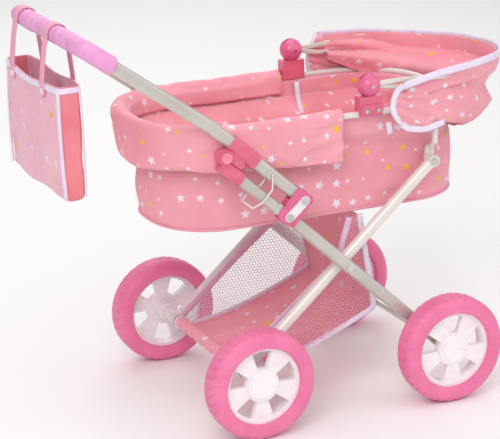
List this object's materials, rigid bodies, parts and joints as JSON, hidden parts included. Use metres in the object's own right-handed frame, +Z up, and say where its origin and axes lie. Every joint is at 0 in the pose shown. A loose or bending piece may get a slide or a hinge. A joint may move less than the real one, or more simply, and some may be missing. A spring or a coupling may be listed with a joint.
{
  "type": "doll stroller",
  "caption": "Doll stroller with a soft bassinet, folding hood, folding cross frame, foam-grip push handle, foam-tyred wheels, under-basket and hanging tote bag.",
  "frame": {"origin": "on the ground at the middle of the overall box", "axes": "+X to the front (hood end), +Y to the pusher's left, +Z up"},
  "size_m": [0.7262, 0.402, 0.6086],
  "materials": {
    "silver_paint": "satin",
    "white_paint": "gloss",
    "steel": "polished",
    "white_plastic": "gloss",
    "pink_plastic": "gloss",
    "star_fabric": "woven",
    "tyre_foam": "matte",
    "grip_foam": "matte",
    "board": "plain"
  },
  "bodies": {
    "front_frame": {"front_leg_left": "silver_paint", "front_leg_right": "silver_paint", "front_axle": "steel", "fold_bracket_left": "pink_plastic", "fold_bracket_right": "pink_plastic", "link_plates": "white_paint", "frame_rivets": "steel", "crossing_spacers": "white_plastic"},
    "rear_frame": {"rear_leg_left": "white_paint", "rear_leg_right": "white_paint", "rear_axle": "steel", "rear_collars": "white_plastic", "rim_rivets": "steel", "basket": "star_fabric"},
    "handle": {"handle_tube": "silver_paint", "grip": "grip_foam", "lock_housing_left": "pink_plastic", "lock_housing_right": "pink_plastic", "handle_screws": "steel"},
    "bassinet": {"rim_tube": "white_paint", "rim_support_left": "white_paint", "rim_support_right": "white_paint", "bassinet_floor": "star_fabric", "bassinet_wall_rear": "star_fabric", "bassinet_wall_front": "star_fabric", "base_board": "board", "cuff": "star_fabric", "hood_clamp_left": "pink_plastic", "hood_clamp_right": "pink_plastic", "clamp_clips": "pink_plastic", "clamp_screws": "steel", "hinge_ball_left": "pink_plastic", "hinge_ball_right": "pink_plastic", "hinge_bolts": "steel", "hood_back_panel": "star_fabric"},
    "hood_front": {"hood_front_hoop": "white_paint", "hood_front_panel": "star_fabric"},
    "hood_middle": {"hood_middle_hoop": "white_paint", "hood_middle_panel": "star_fabric"},
    "tote_bag": {"tote_bag": "star_fabric", "bag_straps": "star_fabric", "bag_pocket": "star_fabric", "strap_snaps": "white_plastic"},
    "lock_bar_left": {"lock_bar_left": "silver_paint"},
    "button_left": {"release_button_left": "pink_plastic"},
    "latch_left": {"latch_wire_left": "white_paint"},
    "wheel_front_left": {"tyre_front_left": "tyre_foam", "rim_front_left": "white_plastic", "hub_cap_front_left": "white_plastic"},
    "wheel_rear_left": {"tyre_rear_left": "tyre_foam", "rim_rear_left": "white_plastic", "hub_cap_rear_left": "white_plastic"},
    "lock_bar_right": {"lock_bar_right": "silver_paint"},
    "button_right": {"release_button_right": "pink_plastic"},
    "latch_right": {"latch_wire_right": "white_paint"},
    "wheel_front_right": {"tyre_front_right": "tyre_foam", "rim_front_right": "white_plastic", "hub_cap_front_right": "white_plastic"},
    "wheel_rear_right": {"tyre_rear_right": "tyre_foam", "rim_rear_right": "white_plastic", "hub_cap_rear_right": "white_plastic"}
  },
  "joints": [
    {"name": "handle_fold", "type": "hinge", "parent": "front_frame", "child": "handle", "pos_m": [-0.01954, 0, 0.33975], "axis": [0, 1, 0], "range_deg": [0, 40]},
    {"name": "frame_fold", "type": "hinge", "parent": "front_frame", "child": "rear_frame", "pos_m": [0.05506, 0, 0.22565], "axis": [0, 1, 0], "range_deg": [0, 22.4]},
    {"name": "bassinet_tilt", "type": "hinge", "parent": "rear_frame", "child": "bassinet", "pos_m": [0.20815, 0, 0.361], "axis": [0, 1, 0], "range_deg": [-2, 0]},
    {"name": "hood_fold", "type": "hinge", "parent": "bassinet", "child": "hood_front", "pos_m": [0.09915, 0, 0.4905], "axis": [0, -1, 0], "range_deg": [0, 80]},
    {"name": "hood_middle_fold", "type": "hinge", "parent": "bassinet", "child": "hood_middle", "pos_m": [0.09915, 0, 0.4905], "axis": [0, -1, 0], "range_deg": [0, 40]},
    {"name": "lock_bar_left_slide", "type": "slide", "parent": "handle", "child": "lock_bar_left", "axis": [-0.7455, 0, 0.6665], "range_m": [0, 0.009], "stiffness_N_per_m": 300, "springref_m": -0.003},
    {"name": "button_left_press", "type": "slide", "parent": "handle", "child": "button_left", "axis": [0, -1, 0], "range_m": [0, 0.0035], "stiffness_N_per_m": 600, "springref_m": -0.002},
    {"name": "latch_left_swing", "type": "hinge", "parent": "handle", "child": "latch_left", "pos_m": [-0.06949, 0.149, 0.38441], "axis": [0, 1, 0], "range_deg": [0, 24]},
    {"name": "lock_bar_right_slide", "type": "slide", "parent": "handle", "child": "lock_bar_right", "axis": [-0.7455, 0, 0.6665], "range_m": [0, 0.009], "stiffness_N_per_m": 300, "springref_m": -0.003},
    {"name": "button_right_press", "type": "slide", "parent": "handle", "child": "button_right", "axis": [0, 1, 0], "range_m": [0, 0.0035], "stiffness_N_per_m": 600, "springref_m": -0.002},
    {"name": "latch_right_swing", "type": "hinge", "parent": "handle", "child": "latch_right", "pos_m": [-0.06949, -0.149, 0.38441], "axis": [0, 1, 0], "range_deg": [0, 24]},
    {"name": "wheel_front_left_spin", "type": "hinge", "parent": "front_frame", "child": "wheel_front_left", "pos_m": [0.20915, 0.18, 0.0825], "axis": [0, 1, 0], "continuous": true},
    {"name": "wheel_front_right_spin", "type": "hinge", "parent": "front_frame", "child": "wheel_front_right", "pos_m": [0.20915, -0.18, 0.0825], "axis": [0, 1, 0], "continuous": true},
    {"name": "wheel_rear_left_spin", "type": "hinge", "parent": "rear_frame", "child": "wheel_rear_left", "pos_m": [-0.10685, 0.18, 0.0825], "axis": [0, 1, 0], "continuous": true},
    {"name": "wheel_rear_right_spin", "type": "hinge", "parent": "rear_frame", "child": "wheel_rear_right", "pos_m": [-0.10685, -0.18, 0.0825], "axis": [0, 1, 0], "continuous": true},
    {"name": "bag_swing", "type": "hinge", "parent": "handle", "child": "tote_bag", "pos_m": [-0.33795, 0, 0.59317], "axis": [0, -1, 0], "range_deg": [-60, 20]}
  ],
  "couplings": [
    {"joint": "frame_fold", "follows": "handle_fold", "ratio": 0.56},
    {"joint": "bassinet_tilt", "follows": "handle_fold", "ratio": -0.05},
    {"joint": "hood_middle_fold", "follows": "hood_fold", "ratio": 0.5}
  ]
}
